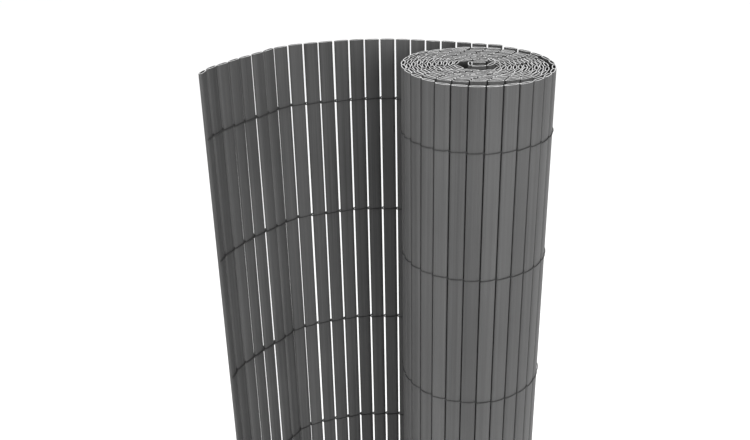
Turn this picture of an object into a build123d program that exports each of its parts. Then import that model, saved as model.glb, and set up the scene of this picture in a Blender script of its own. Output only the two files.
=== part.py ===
from build123d import *
import math
import os

# A fence mat of hollow plastic slats, bound side by side by rows of thread and standing on its end.
# Most of the mat is wound into a roll. Its outer stretch leaves the roll and stands free beside it.
# Millimetres and degrees, +Z up, floor at z = 0, origin under the middle of the plan.

# Slat: a flat tube, crowned on both faces and tapered to both edges
SLAT_LENGTH = 900.0
SLAT_WIDTH = 15.9
SLAT_THICKNESS = 4.6
EDGE_TAPER = 2.4
SLAT_WALL = 0.8

# Roll, wound anticlockwise from its core as seen from above, with its slats pushed together
ROLLED_SLATS = 203
ROLL_GAP = 0.9
CORE_RADIUS = 17.64
LAYER_GAP = 0.6

# The mat's first slats, folded into the core, where the winding starts
START_SLATS = 2
START_FOLD = 95.0

# The roll's last slats, which stand off it more and more up to the place where the mat leaves it
LOOSE_SLATS = 9
LOOSE_RISE = 4.8
LEAVE_ANGLE = 62.6

# Free stretch, in the order in which it leaves the roll
FREE_SLATS = 22
FREE_GAP = 1.6
FIRST_HEADING = 159.8
FIRST_RUN = 89.0
BEND_LENGTH = 112.0
BEND_ANGLE = 37.4
SECOND_RUN = 30.5
CURL_LENGTH = 41.7
CURL_ANGLE = 37.6
END_LENGTH = 35.0
END_ANGLE = 28.0

# Binding threads: two strands in each row, one on either face of the slats
THREAD_ROWS = 6
TOP_ROW_DROP = 69.0
TOP_ROW_STEP = 142.0
BOTTOM_ROW_RISE = 79.4
THREAD_WIDTH = 1.6
THREAD_RISE = 0.9
TUCKED_SLATS = 2

# Sizes that follow
CROWN_WIDTH = SLAT_WIDTH - 2 * EDGE_TAPER
ROLL_PITCH = SLAT_WIDTH + ROLL_GAP
FREE_PITCH = SLAT_WIDTH + FREE_GAP
WOUND_SLATS = START_SLATS + ROLLED_SLATS
LAYER_STEP = SLAT_THICKNESS + LAYER_GAP
FULL_TURN = 2 * math.pi


def slat_outline():
    """Six corners of the slat's section, about its middle, with the width along X."""
    edge = SLAT_WIDTH / 2
    crown = CROWN_WIDTH / 2
    face = SLAT_THICKNESS / 2
    return [(edge, 0), (crown, face), (-crown, face), (-edge, 0), (-crown, -face), (crown, -face)]


def hollow_width():
    """Width of the slat's hollow, whose corners keep the wall from the tapered edges."""
    slope = math.hypot(EDGE_TAPER, SLAT_THICKNESS / 2)
    wall_across = SLAT_WALL * slope / (SLAT_THICKNESS / 2)
    taper_left = EDGE_TAPER * (SLAT_THICKNESS / 2 - SLAT_WALL) / (SLAT_THICKNESS / 2)
    return SLAT_WIDTH - 2 * (wall_across + taper_left)


def slat_solid():
    """One hollow slat, upright on the floor, about the Z axis."""
    section = make_face(Polyline(*slat_outline(), close=True))
    section -= Rectangle(hollow_width(), SLAT_THICKNESS - 2 * SLAT_WALL)
    return extrude(section, SLAT_LENGTH).solid()


def spiral_point(angle):
    """Point of the winding after the given angle from the core, before the roll is turned."""
    radius = CORE_RADIUS + LAYER_STEP * angle / FULL_TURN
    return radius * math.cos(angle), radius * math.sin(angle)


def next_spiral_angle(angle):
    """Angle at which the winding has come one slat pitch further, measured straight across."""
    start = spiral_point(angle)
    low, high = angle, angle + math.pi
    while high - low > 1e-12:
        middle = (low + high) / 2
        if math.dist(start, spiral_point(middle)) < ROLL_PITCH:
            low = middle
        else:
            high = middle
    return high


def spiral_angles():
    """Winding angles of the joints between the rolled slats, from the core outwards."""
    angles = [0.0]
    for _ in range(ROLLED_SLATS):
        angles.append(next_spiral_angle(angles[-1]))
    return angles


def share_passed(run, start, length):
    """How much of a bend, from 0 to 1, lies before the given run."""
    return min(max((run - start) / length, 0), 1)


def free_heading(run):
    """Direction of the free stretch, in radians, at a length after it has left the roll."""
    curl_start = FIRST_RUN + BEND_LENGTH + SECOND_RUN
    end_start = FREE_SLATS * FREE_PITCH - END_LENGTH
    bend = BEND_ANGLE * share_passed(run, FIRST_RUN, BEND_LENGTH)
    curl = CURL_ANGLE * share_passed(run, curl_start, CURL_LENGTH)
    end = END_ANGLE * share_passed(run, end_start, END_LENGTH)
    return math.radians(FIRST_HEADING + bend + curl + end)


def step_from(point, heading, length):
    """The point reached by going straight on for a length."""
    return point[0] + length * math.cos(heading), point[1] + length * math.sin(heading)


def mat_joints(angles):
    """Plan points midway between neighbouring slats, from the folded start to the free end."""
    turn = math.radians(LEAVE_ANGLE) - angles[-1]
    joints = []
    for index, angle in enumerate(angles):
        loose = LOOSE_RISE * share_passed(index, ROLLED_SLATS - LOOSE_SLATS, LOOSE_SLATS)
        radius = math.hypot(*spiral_point(angle)) + loose
        joints.append((radius * math.cos(angle + turn), radius * math.sin(angle + turn)))
    (x0, y0), (x1, y1) = joints[:2]
    heading = math.atan2(y1 - y0, x1 - x0)
    for _ in range(START_SLATS):
        heading -= math.radians(START_FOLD)
        joints.insert(0, step_from(joints[0], heading, -ROLL_PITCH))
    for index in range(FREE_SLATS):
        heading = free_heading((index + 0.5) * FREE_PITCH)
        joints.append(step_from(joints[-1], heading, FREE_PITCH))
    return joints


def slat_place(joints, index):
    """Location that sets the upright slat between two joints of the mat."""
    (x0, y0), (x1, y1) = joints[index], joints[index + 1]
    turn = math.degrees(math.atan2(y1 - y0, x1 - x0))
    return Location(((x0 + x1) / 2, (y0 + y1) / 2, 0), (0, 0, turn))


def offset_chain(chain, distance):
    """The chain of joints moved sideways, to the right of its run, with mitred corners."""
    normals = []
    for (x0, y0), (x1, y1) in zip(chain, chain[1:]):
        length = math.dist((x0, y0), (x1, y1))
        normals.append(((y1 - y0) / length, (x0 - x1) / length))
    befores = [normals[0]] + normals
    afters = normals + [normals[-1]]
    moved = []
    for (x, y), (ax, ay), (bx, by) in zip(chain, befores, afters):
        reach = distance / (1 + ax * bx + ay * by)
        moved.append((x + reach * (ax + bx), y + reach * (ay + by)))
    return moved


def strand_solid(chain, side, height):
    """A thread strand laid flat on the slats' crowns, with a ridge along its middle."""
    seat = offset_chain(chain, side * SLAT_THICKNESS / 2)
    ridge = offset_chain(chain, side * (SLAT_THICKNESS / 2 + THREAD_RISE))
    low = [Vector(x, y, height - THREAD_WIDTH / 2) for x, y in seat]
    top = [Vector(x, y, height) for x, y in ridge]
    high = [Vector(x, y, height + THREAD_WIDTH / 2) for x, y in seat]
    lines = [low, top, high]
    faces = []
    for one, other in zip(lines, lines[1:] + lines[:1]):
        for step in range(len(chain) - 1):
            corners = [one[step], one[step + 1], other[step + 1], other[step]]
            faces.append(Face(Wire.make_polygon(corners)))
    for end in (0, -1):
        faces.append(Face(Wire.make_polygon([line[end] for line in lines])))
    return Solid(Shell(faces))


def row_heights():
    """Heights of the thread rows, from the top row down: two set rows, and the rest spread evenly."""
    top = SLAT_LENGTH - TOP_ROW_DROP
    second = top - TOP_ROW_STEP
    even_rows = THREAD_ROWS - 2
    step = (second - BOTTOM_ROW_RISE) / even_rows
    return [top, second] + [second - step * row for row in range(1, even_rows + 1)]


def mat_pieces():
    """Every piece of the mat by its name, about the roll's axis."""
    slat = slat_solid()
    angles = spiral_angles()
    joints = mat_joints(angles)
    pieces = {}

    turns = {}
    for index in range(WOUND_SLATS):
        first = max(index - START_SLATS, 0)
        middle = (angles[first] + angles[first + 1]) / 2
        turn = int((angles[-1] - middle) / FULL_TURN) + 1
        turns.setdefault(turn, []).append(slat_place(joints, index) * slat)
    for turn, slats in turns.items():
        pieces[f"roll_turn_{turn:02d}"] = Compound(slats)

    for number in range(1, FREE_SLATS + 1):
        place = slat_place(joints, WOUND_SLATS + number - 1)
        pieces[f"free_slat_{number:02d}"] = place * slat

    outer_turn = len(turns[1]) - TUCKED_SLATS
    outside_chain = joints[WOUND_SLATS - outer_turn:]
    inside_chain = joints[WOUND_SLATS + TUCKED_SLATS:]
    for row, height in enumerate(row_heights(), start=1):
        pieces[f"outside_thread_{row}"] = strand_solid(outside_chain, 1, height)
        pieces[f"inside_thread_{row}"] = strand_solid(inside_chain, -1, height)
    return pieces


def main():
    """Builds the mat, centres its plan on the origin and writes one file for each piece."""
    pieces = mat_pieces()
    box = Compound(list(pieces.values())).bounding_box()
    home = Location((-(box.min.X + box.max.X) / 2, -(box.min.Y + box.max.Y) / 2, 0))
    os.makedirs("parts", exist_ok=True)
    for name, piece in pieces.items():
        export_step(home * piece, f"parts/{name}.step")


main()
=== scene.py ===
"""Dresses a fence mat of hollow plastic slats that stands on its end, most of it wound into a roll.

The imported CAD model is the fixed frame. Every slat becomes a flat oval tube with a bore, every row of
binding thread becomes two twined strands, and a plain studio with the photograph's camera stands round them.
Lengths are metres, and angles in the settings are degrees.
"""

from __future__ import annotations

import logging
import math
from dataclasses import dataclass, replace
from enum import Enum

import bpy
import numpy as np
from mathutils import Matrix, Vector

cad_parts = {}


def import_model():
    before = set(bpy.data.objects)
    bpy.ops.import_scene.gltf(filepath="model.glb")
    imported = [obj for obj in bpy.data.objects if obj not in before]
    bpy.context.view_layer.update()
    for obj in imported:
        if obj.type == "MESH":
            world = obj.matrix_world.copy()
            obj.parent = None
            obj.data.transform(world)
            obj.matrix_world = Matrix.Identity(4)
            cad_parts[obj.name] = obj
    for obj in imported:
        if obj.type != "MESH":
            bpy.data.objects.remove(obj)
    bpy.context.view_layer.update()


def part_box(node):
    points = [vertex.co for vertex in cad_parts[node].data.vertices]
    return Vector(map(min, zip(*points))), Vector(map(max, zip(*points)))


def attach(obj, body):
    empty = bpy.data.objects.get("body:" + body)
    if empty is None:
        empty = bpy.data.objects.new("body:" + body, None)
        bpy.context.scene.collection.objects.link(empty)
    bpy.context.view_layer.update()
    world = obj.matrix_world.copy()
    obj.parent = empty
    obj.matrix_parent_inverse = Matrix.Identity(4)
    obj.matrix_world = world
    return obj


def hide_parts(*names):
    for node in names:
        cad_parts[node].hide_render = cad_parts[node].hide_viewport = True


LOG = logging.getLogger("mat")
FULL_TURN = 2 * math.pi
FINEST_ANGLE = 1e-12
SLAT_UV = "slat_skin"
THREAD_UV = "thread_run"
# Slat tone: random from slat to slat, plus painted shade on the free slats.
TONE = "tone"
NOISE_FLOOR = 0.3
NOISE_ROOF = 0.7

Array = np.ndarray
Pair = tuple[float, float]
Corner = tuple[float, float, float]


class Slot(Enum):
    """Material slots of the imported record."""

    SLAT = "slat"
    THREAD = "thread"


class Strand(Enum):
    """The two strands of a thread row, by the side of the mat on which the CAD lays them."""

    OUTSIDE = 0
    INSIDE = 1


@dataclass(frozen=True)
class MatPlan:
    """The mat seen from above, with the sizes of the CAD model: folded start, winding and free stretch.

    The winding is a spiral whose radius grows by one layer a turn. The mat's first slats are folded into its
    core, and its last ones stand off it. The free stretch bends twice and curls up at its end, where single
    slats turn a little more or less than the CAD's. The last slats also lean along the mat, by one length at
    the top and another at the foot, and some thread rows have slipped up from the CAD's heights.
    """

    roll_pitch: float = 0.0168
    free_pitch: float = 0.0175
    core_radius: float = 0.01764
    layer_step: float = 0.0052
    rolled: int = 203
    folded: int = 2
    fold_angle: float = 95.0
    loose: int = 9
    loose_rise: float = 0.0048
    leave_angle: float = 62.6
    free: int = 22
    first_heading: float = 159.8
    first_run: float = 0.089
    bend_length: float = 0.112
    bend_angle: float = 37.4
    second_run: float = 0.0305
    curl_length: float = 0.0417
    curl_angle: float = 37.6
    end_length: float = 0.035
    end_angle: float = 28.0
    last_turns: tuple[float, ...] = (-3.0, 4.2, -6.0, -6.2, 1.0, 0.0, 0.8, 1.0)
    top_leans: tuple[float, ...] = (0.0, 0.0, 0.0, 0.0, 0.0, -0.001, -0.0016, -0.0016, -0.0016)
    foot_leans: tuple[float, ...] = (
        0.0, -0.0006, -0.0016, -0.0016, -0.0005, -0.0004, -0.0004, -0.0004, -0.0006,
    )
    lean_power: int = 4
    height: float = 0.9
    row_heights: tuple[float, ...] = (0.831, 0.689, 0.5366, 0.3842, 0.2318, 0.0794)
    row_slips: tuple[float, ...] = (0.001, 0.0042, 0.0052, 0.004, 0.0, 0.0)

    @property
    def wound(self) -> int:
        """Number of slats in the roll, with the folded ones."""
        return self.folded + self.rolled

    def spiral(self, angles: Array) -> Array:
        """Points of the winding: radius = core radius + layer step * angle / full turn.

        Args:
            angles: Winding angles from the core, in radians.

        Returns:
            One plan point for each angle, before the roll is turned.
        """
        radius = self.core_radius + self.layer_step * angles / FULL_TURN
        return np.stack([radius * np.cos(angles), radius * np.sin(angles)], axis=-1)

    def winding_angles(self) -> Array:
        """Angles of the joints between the rolled slats, each one pitch from the last, straight across.

        Returns:
            Angles from the core outwards, in radians.
        """
        angles = [0.0]
        for _ in range(self.rolled):
            start = self.spiral(np.array(angles[-1]))
            low, high = angles[-1], angles[-1] + math.pi
            while high - low > FINEST_ANGLE:
                middle = (low + high) / 2
                chord = np.hypot(*(self.spiral(np.array(middle)) - start))
                low, high = (middle, high) if chord < self.roll_pitch else (low, middle)
            angles.append(high)
        return np.array(angles)

    def free_headings(self) -> Array:
        """Direction of each free slat: the first heading, the shares of the bends and the last slats' turns.

        Returns:
            One heading for each free slat, in radians.
        """
        run = (np.arange(self.free) + 0.5) * self.free_pitch
        curl_start = self.first_run + self.bend_length + self.second_run
        end_start = self.free * self.free_pitch - self.end_length
        bend = self.bend_angle * np.clip((run - self.first_run) / self.bend_length, 0, 1)
        curl = self.curl_angle * np.clip((run - curl_start) / self.curl_length, 0, 1)
        end = self.end_angle * np.clip((run - end_start) / self.end_length, 0, 1)
        own = np.concatenate([np.zeros(self.free - len(self.last_turns)), self.last_turns])
        return np.radians(self.first_heading + bend + curl + end + own)

    def joints(self) -> Array:
        """Plan points midway between neighbouring slats, from the folded start to the free end.

        Returns:
            Points about the roll's axis, one more than there are slats.
        """
        angles = self.winding_angles()
        turn = math.radians(self.leave_angle) - angles[-1]
        spin = np.array([[math.cos(turn), math.sin(turn)], [-math.sin(turn), math.cos(turn)]])
        spiral = self.spiral(angles) @ spin
        off = self.loose_rise * np.clip((np.arange(self.rolled + 1) - self.rolled) / self.loose + 1, 0, 1)
        spiral = spiral * (1 + off / np.linalg.norm(spiral, axis=1))[:, None]
        first = spiral[1] - spiral[0]
        folds = math.radians(self.fold_angle) * np.arange(1, self.folded + 1)
        back = self.chain(math.atan2(first[1], first[0]) - folds, -self.roll_pitch)
        away = self.chain(self.free_headings(), self.free_pitch)
        return np.concatenate([(spiral[0] + back)[::-1], spiral, spiral[-1] + away])

    @staticmethod
    def chain(headings: Array, step: float) -> Array:
        """Points reached one after the other by equal steps along the headings, from zero."""
        return step * np.cumsum(np.stack([np.cos(headings), np.sin(headings)], axis=-1), axis=0)

    def leans(self, numbers: Array, share: Array) -> Array:
        """How far slats stand from their place: foot's lean + (top's - foot's) * share ** lean power.

        The leans are those of the last free slats. The first is zero, and holds for all slats before it.

        Args:
            numbers: Slat numbers, counted from the core.
            share: Shares of the mat's height.

        Returns:
            One length along the mat for each slat and share.
        """
        last = np.arange(-len(self.top_leans), 0) + self.wound + self.free
        top = np.interp(numbers, last, self.top_leans)[:, None]
        foot = np.interp(numbers, last, self.foot_leans)[:, None]
        return foot + (top - foot) * share ** self.lean_power

    def row_level(self, row: int) -> float:
        """Height of a thread row, counted from the top row, with its slip."""
        return self.row_heights[row - 1] + self.row_slips[row - 1]

    def turns(self) -> Array:
        """Number of the turn, 1 for the outermost, in which each slat of the roll lies.

        Returns:
            One number for each slat, the folded ones counted with the innermost turn.
        """
        angles = self.winding_angles()
        middles = (angles[:-1] + angles[1:]) / 2
        turns = ((angles[-1] - middles) / FULL_TURN).astype(int) + 1
        return np.concatenate([np.repeat(turns[:1], self.folded), turns])


@dataclass(frozen=True)
class MatLayout:
    """The plan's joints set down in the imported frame."""

    plan: MatPlan
    joints: Array
    axis: Array

    @classmethod
    def in_frame(cls, plan: MatPlan) -> MatLayout:
        """Moves the plan so that its first free slat lies on the CAD's.

        Args:
            plan: The mat about the roll's axis.

        Returns:
            The layout, with the roll's axis in the frame.
        """
        joints = plan.joints()
        low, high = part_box("free_slat_01")
        there = (np.array(low)[:2] + np.array(high)[:2]) / 2
        axis = there - (joints[plan.wound] + joints[plan.wound + 1]) / 2
        return cls(plan, joints + axis, axis)

    def slats(self, numbers: Array) -> tuple[Array, Array]:
        """Middles of some slats and their unit directions, from one joint to the next.

        Args:
            numbers: Slat numbers, counted from the core.

        Returns:
            Plan points and plan directions.
        """
        starts, ends = self.joints[numbers], self.joints[numbers + 1]
        along = (ends - starts) / np.linalg.norm(ends - starts, axis=1, keepdims=True)
        return (starts + ends) / 2, along


class Wiring:
    """Adds shader nodes to one new material and joins them."""

    def __init__(self, name: str) -> None:
        """Makes the material with its shader.

        Args:
            name: The material's name.
        """
        self.material = bpy.data.materials.new(name)
        self.material.use_nodes = True
        self.tree = self.material.node_tree
        self.shader = self.tree.nodes["Principled BSDF"]

    def node(self, kind: str) -> bpy.types.Node:
        """Adds one node of a kind."""
        return self.tree.nodes.new(kind)

    def join(self, source: bpy.types.NodeSocket, target: bpy.types.NodeSocket) -> None:
        """Links two sockets."""
        self.tree.links.new(source, target)

    def into_shader(self, source: bpy.types.NodeSocket, name: str) -> None:
        """Links a socket to the shader's input of that name."""
        self.join(source, self.shader.inputs[name])

    def uv(self, name: str) -> bpy.types.NodeSocket:
        """The piece's own map of that name."""
        made = self.node("ShaderNodeUVMap")
        made.uv_map = name
        return made.outputs["UV"]

    def object_place(self) -> bpy.types.NodeSocket:
        """Place on the piece, in metres."""
        return self.node("ShaderNodeTexCoord").outputs["Object"]

    def attribute(self, name: str) -> bpy.types.NodeSocket:
        """A number that the mesh carries."""
        made = self.node("ShaderNodeAttribute")
        made.attribute_name = name
        return made.outputs["Fac"]

    def mapped(self, vector: bpy.types.NodeSocket, scale: Corner, turn: float = 0.0) -> bpy.types.NodeSocket:
        """Stretches a place, and turns it about its third axis.

        Args:
            vector: The place.
            scale: Stretch along each axis.
            turn: Turn in degrees.

        Returns:
            The stretched place.
        """
        made = self.node("ShaderNodeMapping")
        made.inputs["Scale"].default_value = scale
        made.inputs["Rotation"].default_value = (0.0, 0.0, math.radians(turn))
        self.join(vector, made.inputs["Vector"])
        return made.outputs["Vector"]

    def noise(self, vector: bpy.types.NodeSocket, scale: float, detail: float = 3.0) -> bpy.types.NodeSocket:
        """Soft noise from 0 to 1.

        Args:
            vector: The place.
            scale: Waves for each unit of the place.
            detail: Finer layers in the noise.

        Returns:
            The noise.
        """
        made = self.node("ShaderNodeTexNoise")
        made.inputs["Scale"].default_value = scale
        made.inputs["Detail"].default_value = detail
        self.join(vector, made.inputs["Vector"])
        return made.outputs[0]

    def span(self, value: bpy.types.NodeSocket, low: float, high: float,
             floor: float = 0.0, roof: float = 1.0) -> bpy.types.NodeSocket:
        """Takes the values between floor and roof to those between low and high.

        Args:
            value: The number to map.
            low: Result at the floor.
            high: Result at the roof.
            floor: Lowest number met.
            roof: Highest number met.

        Returns:
            The mapped number.
        """
        made = self.node("ShaderNodeMapRange")
        settings = {"From Min": floor, "From Max": roof, "To Min": low, "To Max": high}
        for name, number in settings.items():
            made.inputs[name].default_value = number
        self.join(value, made.inputs["Value"])
        return made.outputs["Result"]

    def noise_span(self, value: bpy.types.NodeSocket, low: float, high: float) -> bpy.types.NodeSocket:
        """Takes soft noise, which seldom leaves the range from 0.3 to 0.7, to numbers from low to high."""
        return self.span(value, low, high, NOISE_FLOOR, NOISE_ROOF)

    def total(self, *values: bpy.types.NodeSocket) -> bpy.types.NodeSocket:
        """Adds numbers together.

        Args:
            values: The numbers.

        Returns:
            Their sum.
        """
        added = values[0]
        for value in values[1:]:
            made = self.node("ShaderNodeMath")
            made.operation = "ADD"
            self.join(added, made.inputs[0])
            self.join(value, made.inputs[1])
            added = made.outputs[0]
        return added

    def greys(self, value: bpy.types.NodeSocket, dark: Corner, light: Corner) -> bpy.types.NodeSocket:
        """A colour between a dark and a light one.

        Args:
            value: Share of the light one, from 0 to 1.
            dark: Colour at 0.
            light: Colour at 1.

        Returns:
            The colour.
        """
        made = self.node("ShaderNodeValToRGB")
        made.color_ramp.elements[0].color = (*dark, 1.0)
        made.color_ramp.elements[1].color = (*light, 1.0)
        self.join(value, made.inputs["Fac"])
        return made.outputs["Color"]

    def relief(self, height: bpy.types.NodeSocket, depth: float, strength: float) -> None:
        """Bumps the shader's surface by a height.

        Args:
            height: The height, from 0 to 1.
            depth: How deep the whole range is, in metres.
            strength: Share of the bump that shows.
        """
        made = self.node("ShaderNodeBump")
        made.inputs["Strength"].default_value = strength
        made.inputs["Distance"].default_value = depth
        self.join(height, made.inputs["Height"])
        self.into_shader(made.outputs["Normal"], "Normal")


@dataclass(frozen=True)
class SlatSkin:
    """Extruded plastic: matt grey, with lengthwise draw lines and a tone that differs from slat to slat.

    Lines are waves for each metre, round the slat and along it, and a swing is how far the tone strays.
    The slats' tones, within tone_reach, are taken to the shares of the light colour in tones. Each is a
    random tone, lowered on the free slats by painted shade.
    """

    dark: Corner = (0.040, 0.040, 0.040)
    light: Corner = (0.096, 0.096, 0.096)
    fine_lines: Corner = (900.0, 5.0, 1.0)
    broad_lines: Corner = (240.0, 1.6, 1.0)
    grain: float = 2600.0
    clouds: float = 7.0
    fine_swing: float = 0.14
    broad_swing: float = 0.15
    grain_swing: float = 0.05
    cloud_swing: float = 0.10
    tones: Pair = (0.16, 0.67)
    tone_reach: Pair = (-0.5, 1.0)
    roughness: Pair = (0.44, 0.60)
    shine: float = 0.2
    fine_relief: float = 0.7
    grain_relief: float = 0.3
    relief_depth: float = 0.00012
    relief_strength: float = 0.5

    def material(self) -> bpy.types.Material:
        """Wires the finish.

        Returns:
            The material.
        """
        wiring = Wiring("slat_skin")
        wiring.shader.inputs["Specular IOR Level"].default_value = self.shine
        run = wiring.uv(SLAT_UV)
        fine = wiring.noise(wiring.mapped(run, self.fine_lines), 1.0, detail=4.0)
        broad = wiring.noise(wiring.mapped(run, self.broad_lines), 1.0, detail=2.0)
        grain = wiring.noise(wiring.object_place(), self.grain, detail=2.0)
        clouds = wiring.noise(wiring.object_place(), self.clouds)
        mix = wiring.total(
            wiring.noise_span(fine, -self.fine_swing, self.fine_swing),
            wiring.noise_span(broad, -self.broad_swing, self.broad_swing),
            wiring.noise_span(grain, -self.grain_swing, self.grain_swing),
            wiring.noise_span(clouds, -self.cloud_swing, self.cloud_swing),
            wiring.span(wiring.attribute(TONE), *self.tones, *self.tone_reach),
        )
        wiring.into_shader(wiring.greys(mix, self.dark, self.light), "Base Color")
        wiring.into_shader(wiring.noise_span(fine, *self.roughness), "Roughness")
        height = wiring.total(
            wiring.span(fine, 0.0, self.fine_relief),
            wiring.span(grain, 0.0, self.grain_relief),
        )
        wiring.relief(height, self.relief_depth, self.relief_strength)
        return wiring.material


@dataclass(frozen=True)
class CutEndWithHighlight:
    """The sawn end of a slat: paler and rougher than the skin, with saw marks.

    The paleness is partly the sawn plastic's own and partly a painted highlight of the light on the tops.
    """

    # These greys are far paler than the skin's, partly as painted highlight where the tops catch the light.
    dark: Corner = (0.40, 0.40, 0.40)
    light: Corner = (0.76, 0.76, 0.76)
    saw_lines: Corner = (300.0, 2200.0, 300.0)
    saw_turn: float = 24.0
    saw_tones: Pair = (-0.1, 0.35)
    patches: float = 140.0
    patch_tones: Pair = (0.0, 0.75)
    roughness: float = 0.72
    relief_depth: float = 0.0001
    relief_strength: float = 0.6

    def material(self) -> bpy.types.Material:
        """Wires the finish.

        Returns:
            The material.
        """
        wiring = Wiring("slat_cut_end_with_highlight")
        wiring.shader.inputs["Roughness"].default_value = self.roughness
        place = wiring.object_place()
        marks = wiring.noise(wiring.mapped(place, self.saw_lines, self.saw_turn), 1.0, detail=2.0)
        patches = wiring.noise(place, self.patches, detail=2.0)
        mix = wiring.total(
            wiring.noise_span(marks, *self.saw_tones),
            wiring.noise_span(patches, *self.patch_tones),
        )
        wiring.into_shader(wiring.greys(mix, self.dark, self.light), "Base Color")
        wiring.relief(marks, self.relief_depth, self.relief_strength)
        return wiring.material


@dataclass(frozen=True)
class TwistedThread:
    """Dark grey binding thread, laid from twisted filaments that show as slanting lines."""

    dark: Corner = (0.009, 0.009, 0.009)
    light: Corner = (0.032, 0.032, 0.032)
    lay: Corner = (900.0, 0.6, 1.0)
    lay_slant: float = 20.0
    lay_waver: float = 0.6
    lay_tones: Pair = (0.0, 0.6)
    fuzz: float = 1500.0
    fuzz_tones: Pair = (0.0, 0.4)
    roughness: Pair = (0.6, 0.8)
    relief_depth: float = 0.00012
    relief_strength: float = 0.7

    def material(self) -> bpy.types.Material:
        """Wires the finish: bands that run along the strand and once round it.

        Returns:
            The material.
        """
        wiring = Wiring("binding_thread")
        bands = wiring.node("ShaderNodeTexWave")
        bands.bands_direction = "X"
        bands.inputs["Scale"].default_value = 1.0
        bands.inputs["Distortion"].default_value = self.lay_waver
        run = wiring.mapped(wiring.uv(THREAD_UV), self.lay, self.lay_slant)
        wiring.join(run, bands.inputs["Vector"])
        lay = bands.outputs["Fac"]
        fuzz = wiring.noise(wiring.object_place(), self.fuzz)
        mix = wiring.total(wiring.span(lay, *self.lay_tones), wiring.noise_span(fuzz, *self.fuzz_tones))
        wiring.into_shader(wiring.greys(mix, self.dark, self.light), "Base Color")
        wiring.into_shader(wiring.span(fuzz, *self.roughness), "Roughness")
        wiring.relief(lay, self.relief_depth, self.relief_strength)
        return wiring.material


@dataclass(frozen=True)
class StudioFloor:
    """Pale painted floor with a faint cloud in its tone."""

    dark: Corner = (0.90, 0.90, 0.90)
    light: Corner = (0.94, 0.94, 0.94)
    clouds: float = 1.3
    roughness: Pair = (0.75, 0.85)

    def material(self) -> bpy.types.Material:
        """Wires the finish.

        Returns:
            The material.
        """
        wiring = Wiring("studio_floor")
        clouds = wiring.noise(wiring.object_place(), self.clouds)
        wiring.into_shader(wiring.greys(clouds, self.dark, self.light), "Base Color")
        wiring.into_shader(wiring.span(clouds, *self.roughness), "Roughness")
        return wiring.material


@dataclass(frozen=True)
class Finishes:
    """The materials of the mat's pieces."""

    skin: bpy.types.Material
    cut_end: bpy.types.Material
    thread: bpy.types.Material

    @classmethod
    def wired(cls) -> Finishes:
        """Wires every finish of the mat once."""
        return cls(SlatSkin().material(), CutEndWithHighlight().material(), TwistedThread().material())


def closed_grid(around: int, along: int, ring: bool) -> tuple[Array, Array]:
    """Quads of a grid that closes round itself, and also lengthwise if it is a ring.

    Args:
        around: Points round the section.
        along: Points along the path.
        ring: Whether the path's last point joins its first.

    Returns:
        Corners by point number, and corners by number on the same grid unrolled, with one more point
        each way.
    """
    steps = along if ring else along - 1
    a, b = np.meshgrid(np.arange(around), np.arange(steps), indexing="ij")
    corners = [(a, b), (a + 1, b), (a + 1, b + 1), (a, b + 1)]
    points = np.stack([(u % around) * along + v % along for u, v in corners], axis=-1)
    unrolled = np.stack([u * (along + 1) + v for u, v in corners], axis=-1)
    return points.reshape(-1, 4), unrolled.reshape(-1, 4)


def new_piece(name: str, points: Array, faces: list[Array]) -> bpy.types.Object:
    """Puts points and faces into a mesh object at the origin.

    Args:
        name: The object's name.
        points: Corner points in the frame.
        faces: Arrays of faces, one array for each number of corners.

    Returns:
        The object, in the scene.
    """
    mesh = bpy.data.meshes.new(name)
    mesh.from_pydata(points.tolist(), [], [face for part in faces for face in part.tolist()])
    piece = bpy.data.objects.new(name, mesh)
    bpy.context.scene.collection.objects.link(piece)
    return piece


def map_faces(piece: bpy.types.Object, name: str, corners: Array) -> None:
    """Gives a mesh its own map.

    Args:
        piece: The mesh object.
        name: The map's name.
        corners: One pair of numbers for each face corner, in the faces' order.
    """
    layer = piece.data.uv_layers.new(name=name)
    layer.data.foreach_set("uv", corners.astype(np.float32).ravel())


def smooth(piece: bpy.types.Object, sharp_from: float) -> None:
    """Shades a mesh smooth, apart from edges that turn by more than an angle in degrees."""
    piece.data.shade_smooth()
    piece.data.set_sharp_from_angle(angle=math.radians(sharp_from))


def settle(piece: bpy.types.Object, slot: Slot, *nodes: str) -> None:
    """Ties a finished piece to the frame.

    Args:
        piece: The piece.
        slot: Not used.
        nodes: CAD nodes that it stands for.
    """
    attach(piece, "root")
    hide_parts(*nodes)
    LOG.info("%s stands for %s, %d faces", piece.name, ", ".join(nodes), len(piece.data.polygons))


def put_in_scene(thing: bpy.types.Object, right: Array, up: Array, back: Array, place: Array) -> None:
    """Puts a camera or a light into the scene, with its own axes along three directions.

    Args:
        thing: The camera or light, which looks against its third axis.
        right: Direction of its first axis.
        up: Direction of its second axis.
        back: Direction of its third axis.
        place: Where it stands.
    """
    columns = np.stack([right, up, back, place], axis=-1)
    thing.matrix_world = Matrix([*columns.tolist(), [0.0, 0.0, 0.0, 1.0]])
    bpy.context.scene.collection.objects.link(thing)


@dataclass(frozen=True)
class SlatSection:
    """Flat oval section of a slat, with a bore of the same form."""

    half_width: float = 0.0079
    half_thickness: float = 0.0023
    wall: float = 0.00095
    fullness: float = 2.7

    @property
    def power(self) -> float:
        """Power of the sine and cosine that draws an oval of this fullness."""
        return 2 / self.fullness

    def wall_at(self, inset: float, count: int) -> Array:
        """Superellipse: |x / half width| ** fullness + |y / half thickness| ** fullness = 1.

        Both halves are less by the inset, so the oval lies on the skin, in the wall or on the bore.

        Args:
            inset: Depth below the skin, from 0 to the wall.
            count: Number of points, spread evenly in the angle.

        Returns:
            Points anticlockwise, in the section's own plane.
        """
        angle = (np.arange(count) + 0.5) * FULL_TURN / count
        cosine, sine = np.cos(angle), np.sin(angle)
        x = (self.half_width - inset) * np.sign(cosine) * np.abs(cosine) ** self.power
        y = (self.half_thickness - inset) * np.sign(sine) * np.abs(sine) ** self.power
        return np.stack([x, y], axis=-1)


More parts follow.
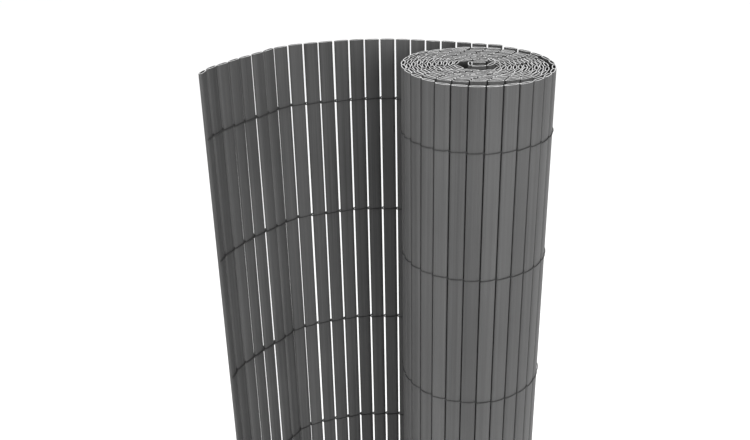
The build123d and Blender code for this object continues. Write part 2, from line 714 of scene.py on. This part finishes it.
@dataclass(frozen=True)
class EndLift:
    """How far the slats' tops stand above the mat's height, at four sides of the roll."""

    front: float
    back: float
    left: float
    right: float

    @classmethod
    def even(cls, lift: float) -> EndLift:
        """The same lift on every side."""
        return cls(lift, lift, lift, lift)

    def at(self, places: Array) -> Array:
        """Shares the four lifts out by the squares of the sine and cosine of a place's angle.

        Args:
            places: Plan points about the roll's axis.

        Returns:
            One lift for each place.
        """
        cosine, sine = (places / np.linalg.norm(places, axis=1, keepdims=True)).T
        across = np.where(cosine < 0, self.left, self.right) * cosine ** 2
        return across + np.where(sine < 0, self.front, self.back) * sine ** 2


@dataclass(frozen=True)
class SlatMake:
    """How finely the slats of a group are made, and how far they differ from each other.

    The sway is a length, the twist an angle, and slats are cut short by random lengths up to short_by. The
    painted shade is added to every slat's tone, which is drawn between 0 and 1: it darkens the slats of a
    group that stands in shade.
    """

    around: int = 12
    rings: int = 1
    edge_break: float = 0.0
    sway: float = 0.0
    twist: float = 0.0
    short_by: float = 0.0012
    painted_shade: float = 0.0


@dataclass(frozen=True)
class SlatBank:
    """A group of neighbouring slats that make one piece.

    Each slat is a grid closed both ways: one parameter goes round the section, and the other goes up the
    skin, over the sawn top, down the bore and back under the sawn foot. The seed draws the slats' places,
    the next one their map and tone, and the one after that their cut.
    """

    name: str
    node: str
    numbers: Array
    layout: MatLayout
    seed: int
    make: SlatMake
    lift: EndLift
    section: SlatSection = SlatSection()
    map_spread: float = 50.0
    sharp_from: float = 38.0

    def tops(self, middles: Array) -> Array:
        """Heights of the slats' tops: the height of the mat, plus the lift, less a random cut.

        Args:
            middles: Plan points of the slats' middles.

        Returns:
            One height for each slat.
        """
        rng = np.random.default_rng(self.seed + 2)
        short = rng.uniform(0, 1, len(middles)) * self.make.short_by
        return self.layout.plan.height + self.lift.at(middles - self.layout.axis) - short

    def loop(self) -> tuple[Array, Array, Array]:
        """The way round the wall: up the skin, in over the top, down the bore, out under the foot.

        A broken edge adds two steps at either end, and drops the corners of the skin and the bore.

        Returns:
            Share of the height, depth below the skin, and drop from the slat's end, for each step.
        """
        bevel = self.make.edge_break
        wall = self.section.wall
        up = np.linspace(0.0, 1.0, self.make.rings + 1)
        cut = [bevel, wall - bevel] if bevel else []
        share = np.concatenate([up, np.ones(len(cut) + 1), np.zeros(len(cut) + 1)])
        depth = np.concatenate([np.zeros(len(up)), cut, [wall, wall], cut[::-1]])
        drop = np.zeros(len(share))
        top = len(up) - 1
        drop[[0, top, top + len(cut) + 1, top + len(cut) + 2]] = bevel
        return share, depth, drop

    def points(self) -> Array:
        """Points of every slat: middle + x * direction + y * normal, swayed and twisted a little.

        The sway is a lean plus a parabola over the height, along the mat. The twist turns a slat about its
        own middle line. The plan's own lean comes on top.

        Returns:
            Points by slat, place round the section and step of the loop.
        """
        rng = np.random.default_rng(self.seed)
        lean, bow, turn = rng.uniform(-1, 1, (3, len(self.numbers)))
        middles, along = self.layout.slats(self.numbers)
        heading = np.arctan2(along[:, 1], along[:, 0]) + np.radians(self.make.twist) * turn
        share, depth, drop = self.loop()
        outlines = np.stack([self.section.wall_at(inset, self.make.around) for inset in depth], axis=1)
        shift = self.make.sway * (lean[:, None] * (share - 0.5) + bow[:, None] * 2 * share * (1 - share))
        shift = shift + self.layout.plan.leans(self.numbers, share)
        across = outlines[None, :, :, 0] + shift[:, None, :]
        out = outlines[None, :, :, 1]
        cosine, sine = np.cos(heading)[:, None, None], np.sin(heading)[:, None, None]
        x = middles[:, 0, None, None] + across * cosine + out * sine
        y = middles[:, 1, None, None] + across * sine - out * cosine
        z = share * self.tops(middles)[:, None] + np.where(share > 0.5, -drop, drop)
        return np.stack([x, y, np.broadcast_to(z[:, None, :], x.shape)], axis=-1)

    def map_skin(self, piece: bpy.types.Object, corners: Array, rng: np.random.Generator) -> None:
        """Lays the map: length round the section and length up the wall, from a random start on each slat.

        Args:
            piece: The mesh object.
            corners: Face corners of one slat, by number on the unrolled grid.
            rng: Source of the starts.
        """
        share, depth, _ = self.loop()
        outline = self.section.wall_at(0.0, self.make.around)
        sides = np.linalg.norm(np.roll(outline, -1, axis=0) - outline, axis=1)
        girth = np.concatenate([[0.0], np.cumsum(sides)])
        rise = np.append(share, share[0]) * self.layout.plan.height + np.append(depth, 0.0)
        sheet = np.stack(np.meshgrid(girth, rise, indexing="ij"), axis=-1).reshape(-1, 2)
        starts = rng.uniform(0, self.map_spread, (len(self.numbers), 1, 1, 2))
        map_faces(piece, SLAT_UV, (sheet[corners][None] + starts).reshape(-1, 2))

    def dress(self, piece: bpy.types.Object, finishes: Finishes, rng: np.random.Generator) -> None:
        """Gives every slat its tone, with the group's painted shade, and the walls and the sawn ends their
        finishes.

        Args:
            piece: The mesh object.
            finishes: The mat's materials.
            rng: Source of the tones.
        """
        count = len(self.numbers)
        share, _, _ = self.loop()
        # Each slat's tone is random; the group's painted shade lowers it where the slats stand in shade.
        tones = np.repeat(self.make.painted_shade + rng.uniform(0, 1, count), self.make.around * len(share))
        tone = piece.data.attributes.new(TONE, "FLOAT", "POINT")
        tone.data.foreach_set("value", tones.astype(np.float32))
        piece.data.materials.append(finishes.skin)
        piece.data.materials.append(finishes.cut_end)
        # Sawn end faces take the cut-end finish, whose paleness is partly painted highlight.
        at_end = np.tile(np.append(share[1:], share[0]) == share, count * self.make.around)
        piece.data.polygons.foreach_set("material_index", at_end.astype(np.int32))
        smooth(piece, self.sharp_from)

    def build(self, finishes: Finishes) -> bpy.types.Object:
        """Makes the piece, maps it and dresses it.

        Args:
            finishes: The mat's materials.

        Returns:
            The piece.
        """
        rng = np.random.default_rng(self.seed + 1)
        places = self.points()
        count, around, steps, _ = places.shape
        quads, unrolled = closed_grid(around, steps, ring=True)
        faces = quads[:, ::-1] + np.arange(count)[:, None, None] * (around * steps)
        piece = new_piece(self.name, places.reshape(-1, 3), [faces.reshape(-1, 4)])
        self.map_skin(piece, unrolled[:, ::-1], rng)
        self.dress(piece, finishes, rng)
        settle(piece, Slot.SLAT, self.node)
        return piece


@dataclass(frozen=True)
class Roll:
    """The wound part of the mat: one piece for each turn, numbered from the outermost."""

    layout: MatLayout
    first_seed: int = 100
    outer: SlatMake = SlatMake(32, 4, edge_break=0.00015, sway=0.0004, twist=1.2, short_by=0.0008)
    inner: SlatMake = SlatMake()
    outer_lift: EndLift = EndLift(-0.0014, -0.0007, 0.0016, -0.0017)
    inner_lift: EndLift = EndLift(0.0024, -0.0008, 0.0008, -0.0022)
    core_lift: EndLift = EndLift.even(0.0028)
    core_section: SlatSection = SlatSection(half_width=0.0074)

    def lift(self, turn: int, innermost: int) -> EndLift:
        """The tops of one turn. Between the outer turn and the core, the front's lift falls evenly to zero.

        Args:
            turn: The turn's number.
            innermost: Number of the turn in the core.

        Returns:
            The turn's lift.
        """
        if turn == 1:
            return self.outer_lift
        if turn == innermost:
            return self.core_lift
        front = self.inner_lift.front * (innermost - 1 - turn) / (innermost - 3)
        return replace(self.inner_lift, front=front)

    def build(self, finishes: Finishes) -> None:
        """Builds the turns from the outermost to the core.

        Args:
            finishes: The mat's materials.
        """
        turns = self.layout.plan.turns()
        innermost = int(turns.max())
        for turn in range(1, innermost + 1):
            SlatBank(
                name=f"turn_{turn:02d}_slats",
                node=f"roll_turn_{turn:02d}",
                numbers=np.flatnonzero(turns == turn),
                layout=self.layout,
                seed=self.first_seed + turn,
                make=self.outer if turn == 1 else self.inner,
                lift=self.lift(turn, innermost),
                section=self.core_section if turn == innermost else SlatSection(),
            ).build(finishes)


@dataclass(frozen=True)
class FreeStretch:
    """The part of the mat that stands beside the roll: one piece for each slat."""

    layout: MatLayout
    first_seed: int = 200
    seed_step: int = 3
    # painted_shade darkens the free slats' grey: painted shade for the shade they stand in, inside the curl
    # beside the roll.
    make: SlatMake = SlatMake(
        36, 8, edge_break=0.00015, sway=0.0006, twist=1.2, short_by=0.0006, painted_shade=-0.35,
    )
    lift: EndLift = EndLift.even(0.0012)

    def build(self, finishes: Finishes) -> None:
        """Builds the slats in the order in which they leave the roll.

        Args:
            finishes: The mat's materials.
        """
        plan = self.layout.plan
        for number in range(1, plan.free + 1):
            SlatBank(
                name=f"free_{number:02d}_slat",
                node=f"free_slat_{number:02d}",
                numbers=np.array([plan.wound + number - 1]),
                layout=self.layout,
                seed=self.first_seed + self.seed_step * number,
                make=self.make,
                lift=self.lift,
            ).build(finishes)


@dataclass(frozen=True)
class ThreadStrand:
    """One strand of a thread row, which goes over one slat and under the next.

    The strand is a round section carried along a wave. Over each slat the wave is half a superellipse, and
    in each gap it swells where it passes its twin, which goes the other way. Both wander up and down.
    """

    row: int
    strand: Strand
    layout: MatLayout
    section: SlatSection = SlatSection()
    radius: float = 0.00048
    knot: float = 1.7
    knot_power: int = 8
    uneven: float = 0.15
    end_swell: float = 2.0
    swell_slats: tuple[int, int] = (9, 5)
    slack: float = 0.0003
    pressed: float = 0.0003
    wander: float = 0.0007
    tucked: int = 2
    trimmed: tuple[int, int] = (10, 2)
    samples: int = 14
    around: int = 8
    weave_seed: int = 500
    seed_step: int = 10
    wander_seed: int = 600
    sharp_from: float = 60.0

    @property
    def name(self) -> str:
        """The piece's name."""
        return f"row_{self.row}_{self.strand.name.lower()}_strand"

    @property
    def node(self) -> str:
        """The CAD node that the strand stands for."""
        return f"{self.strand.name.lower()}_thread_{self.row}"

    def slat_numbers(self) -> Array:
        """The slats that the row binds: those of the outer turn, less the tucked ones, and the free ones."""
        plan = self.layout.plan
        outer_turn = int(np.sum(plan.turns() == 1)) - self.tucked
        return np.arange(plan.wound - outer_turn, plan.wound + plan.free)

    def girths(self, numbers: Array, side: Array) -> tuple[Array, Array]:
        """The strand's radius on each slat, and how far from the slat's middle it passes.

        The radius swells towards the free end. Behind the wound slats the strand is pressed against them.

        Args:
            numbers: Slat numbers, counted from the core.
            side: 1 where the strand passes outside the slat, and -1 where it passes inside.

        Returns:
            One radius and one reach for each slat.
        """
        plan = self.layout.plan
        rng = np.random.default_rng(self.weave_seed + self.seed_step * self.row + self.strand.value)
        slack = rng.uniform(0, self.slack, side.shape)
        uneven = rng.uniform(1 - self.uneven, 1 + self.uneven, side.shape)
        swell_at = plan.wound + plan.free - np.array(self.swell_slats)
        thick = self.radius * np.interp(numbers, swell_at, [1.0, self.end_swell])[:, None] * uneven
        behind = (numbers < plan.wound)[:, None] & (side < 0)
        return thick, self.section.half_thickness + np.where(behind, self.pressed, thick + slack)

    def drift(self, count: int, t: Array) -> Array:
        """How far the row wanders up and down: straight lines between random heights in the gaps.

        Args:
            count: Number of slats.
            t: Angles on one slat, from 0 to half a turn.

        Returns:
            One height for each slat and angle.
        """
        rng = np.random.default_rng(self.wander_seed + self.row)
        gaps = self.wander * rng.uniform(-1, 1, count + 1)[:, None]
        return gaps[:-1] + (gaps[1:] - gaps[:-1]) * t / math.pi

    def path(self) -> tuple[Array, Array]:
        """Middle line of the strand, and its radius.

        On each slat, with t from 0 to half a turn: along = -half pitch * cos(t) ** power,
        out = side * reach * sin(t) ** power and rise = -side * knot radius * cos(t). The side changes from
        slat to slat, so the strands cross in the gaps, one above the other. The radius goes over to the
        knot's with cos(t) ** knot power. The strand leans along the mat with its slats.

        Returns:
            Points along the strand, and one radius for each.
        """
        plan = self.layout.plan
        numbers = self.slat_numbers()
        level = plan.row_level(self.row)
        knot = self.radius * self.knot
        side = np.where((numbers + self.strand.value) % 2 == 0, 1.0, -1.0)[:, None]
        thick, reach = self.girths(numbers, side)
        t = (np.arange(self.samples) * math.pi / self.samples)[None, :]
        pitch = np.where(numbers < plan.wound, plan.roll_pitch, plan.free_pitch)[:, None]
        run = -pitch / 2 * np.sign(np.cos(t)) * np.abs(np.cos(t)) ** self.section.power
        run = run + plan.leans(numbers, np.array([level / plan.height]))
        out = side * reach * np.sin(t) ** self.section.power
        height = level + self.drift(len(numbers), t) - side * knot * np.cos(t)
        middles, along = self.layout.slats(numbers)
        normals = np.stack([along[:, 1], -along[:, 0]], axis=-1)
        flat = middles[:, None, :] + run[..., None] * along[:, None, :]
        flat = flat + out[..., None] * normals[:, None, :]
        points = np.concatenate([flat, height[..., None]], axis=-1).reshape(-1, 3)
        radii = thick + (knot - thick) * np.cos(t) ** self.knot_power
        kept = slice(-self.trimmed[self.strand.value])
        return points[kept], radii.ravel()[kept]

    def build(self, finishes: Finishes) -> bpy.types.Object:
        """Carries the round section along the path, closes both ends and dresses the piece.

        Args:
            finishes: The mat's materials.

        Returns:
            The piece.
        """
        path, radii = self.path()
        tangent = np.gradient(path, axis=0)
        tangent /= np.linalg.norm(tangent, axis=1, keepdims=True)
        side = np.cross([0.0, 0.0, 1.0], tangent)
        side /= np.linalg.norm(side, axis=1, keepdims=True)
        up = np.cross(tangent, side)
        angle = (np.arange(self.around) * FULL_TURN / self.around)[:, None, None]
        tube = path + radii[:, None] * (np.cos(angle) * side + np.sin(angle) * up)
        steps = len(path)
        quads, unrolled = closed_grid(self.around, steps, ring=False)
        ends = np.arange(self.around)[:, None] * steps + np.array([0, steps - 1])
        caps = np.stack([ends[::-1, 0], ends[:, 1]])
        piece = new_piece(self.name, tube.reshape(-1, 3), [quads, caps])

        length = np.concatenate([[0.0], np.cumsum(np.linalg.norm(np.diff(path, axis=0), axis=1))])
        shares = np.arange(self.around + 1) / self.around
        sheet = np.stack(np.meshgrid(shares, np.append(length, length[-1]), indexing="ij"), axis=-1)
        sheet = sheet[..., ::-1].reshape(-1, 2)
        corners = np.concatenate([sheet[unrolled].reshape(-1, 2), np.zeros((2 * self.around, 2))])
        map_faces(piece, THREAD_UV, corners)
        piece.data.materials.append(finishes.thread)
        smooth(piece, self.sharp_from)
        settle(piece, Slot.THREAD, self.node)
        return piece


@dataclass(frozen=True)
class Binding:
    """The rows of thread that hold the slats: two strands in each row, from the top row down."""

    layout: MatLayout

    def build(self, finishes: Finishes) -> None:
        """Builds every strand.

        Args:
            finishes: The mat's materials.
        """
        for row in range(1, len(self.layout.plan.row_heights) + 1):
            for strand in Strand:
                ThreadStrand(row, strand, self.layout).build(finishes)


@dataclass(frozen=True)
class PhotoCamera:
    """The photograph's camera, fitted to the object's top ends and edges.

    The image width and the focal length are in pixels, and the sensor is in millimetres.
    """

    image_width: float = 750.0
    focal: float = 890.567
    sensor: float = 36.0
    pitch: float = 24.672
    roll: float = -1.261
    stand: Corner = (-0.105098, -0.879344, 0.233418)
    clip: Pair = (0.01, 200.0)

    def build(self, layout: MatLayout) -> bpy.types.Object:
        """Sets the camera up: it looks along +Y and down by its pitch, and is turned a little by its roll.

        Args:
            layout: The mat, whose roll axis and top the stand is measured from.

        Returns:
            The camera, made the scene's own.
        """
        down, lean = math.radians(self.pitch), math.radians(self.roll)
        right = np.array([1.0, 0.0, 0.0])
        up = np.array([0.0, math.sin(down), math.cos(down)])
        back = np.array([0.0, -math.cos(down), math.sin(down)])
        image_right = right * math.cos(lean) + up * math.sin(lean)
        image_up = -right * math.sin(lean) + up * math.cos(lean)
        place = np.array([*layout.axis, layout.plan.height]) + np.array(self.stand)
        data = bpy.data.cameras.new("photo_camera")
        data.sensor_width = self.sensor
        data.lens = self.sensor * self.focal / self.image_width
        data.clip_start, data.clip_end = self.clip
        camera = bpy.data.objects.new("photo_camera", data)
        put_in_scene(camera, image_right, image_up, back, place)
        bpy.context.scene.camera = camera
        return camera


@dataclass(frozen=True)
class SoftBox:
    """A square soft light that faces the middle of the mat."""

    name: str
    azimuth: float
    elevation: float
    power: float
    size: float = 0.9
    distance: float = 2.2
    aim: Corner = (0.0, 0.0, 0.55)

    def build(self) -> bpy.types.Object:
        """Hangs the light: place = aim + distance * direction of its azimuth, from +X, and elevation.

        Returns:
            The light.
        """
        data = bpy.data.lights.new(self.name, "AREA")
        data.size = self.size
        data.energy = self.power
        lamp = bpy.data.objects.new(self.name, data)
        turn, rise = math.radians(self.azimuth), math.radians(self.elevation)
        back = np.array([math.cos(rise) * math.cos(turn), math.cos(rise) * math.sin(turn), math.sin(rise)])
        right = np.array([-math.sin(turn), math.cos(turn), 0.0])
        put_in_scene(lamp, right, np.cross(back, right), back, np.array(self.aim) + self.distance * back)
        return lamp


@dataclass(frozen=True)
class Studio:
    """Pale floor, an even white surround, a wide light overhead and soft boxes."""

    floor_radius: float = 100.0
    floor_rings: tuple[float, ...] = (0.02, 0.1, 0.4, 1.0)
    floor_sides: int = 64
    surround: float = 0.45
    overhead: float = 2.1
    overhead_spread: float = 50.0
    boxes: tuple[SoftBox, ...] = (
        SoftBox("front_right_box", -66.0, 22.0, 32.0),
        SoftBox("right_box", -15.0, 22.0, 1.5),
        SoftBox("left_box", -176.0, 24.0, 30.0),
    )

    def lay_floor(self) -> None:
        """Lays a disc of rings: x = radius * cos(angle) and y = radius * sin(angle)."""
        radii = self.floor_radius * np.array(self.floor_rings)
        angle = (np.arange(self.floor_sides) * FULL_TURN / self.floor_sides)[:, None]
        flat = np.stack([radii * np.cos(angle), radii * np.sin(angle), 0 * radii * angle], axis=-1)
        quads, _ = closed_grid(self.floor_sides, len(radii), ring=False)
        middle = (np.arange(self.floor_sides) * len(radii))[None, :]
        floor = new_piece("floor", flat.reshape(-1, 3), [quads[:, ::-1], middle])
        floor.data.materials.append(StudioFloor().material())

    def light(self) -> None:
        """Sets the surround, the wide light overhead and the soft boxes."""
        world = bpy.data.worlds.new("studio")
        world.use_nodes = True
        ground = world.node_tree.nodes["Background"]
        ground.inputs["Color"].default_value = (1.0, 1.0, 1.0, 1.0)
        ground.inputs["Strength"].default_value = self.surround
        bpy.context.scene.world = world
        bpy.context.scene.view_settings.view_transform = "Standard"
        data = bpy.data.lights.new("overhead", "SUN")
        data.energy = self.overhead
        data.angle = math.radians(self.overhead_spread)
        bpy.context.scene.collection.objects.link(bpy.data.objects.new("overhead", data))
        for box in self.boxes:
            box.build()

    def build(self) -> None:
        """Lays the floor and sets the light."""
        self.lay_floor()
        self.light()


def main() -> None:
    """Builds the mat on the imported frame, one sub-assembly after the other."""
    logging.basicConfig(level=logging.INFO, format="%(message)s")
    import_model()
    layout = MatLayout.in_frame(MatPlan())
    PhotoCamera().build(layout)
    Studio().build()

    finishes = Finishes.wired()
    Roll(layout).build(finishes)
    FreeStretch(layout).build(finishes)
    Binding(layout).build(finishes)
    LOG.info("%d slats wound and %d free", layout.plan.wound, layout.plan.free)


if __name__ == "__main__":
    main()
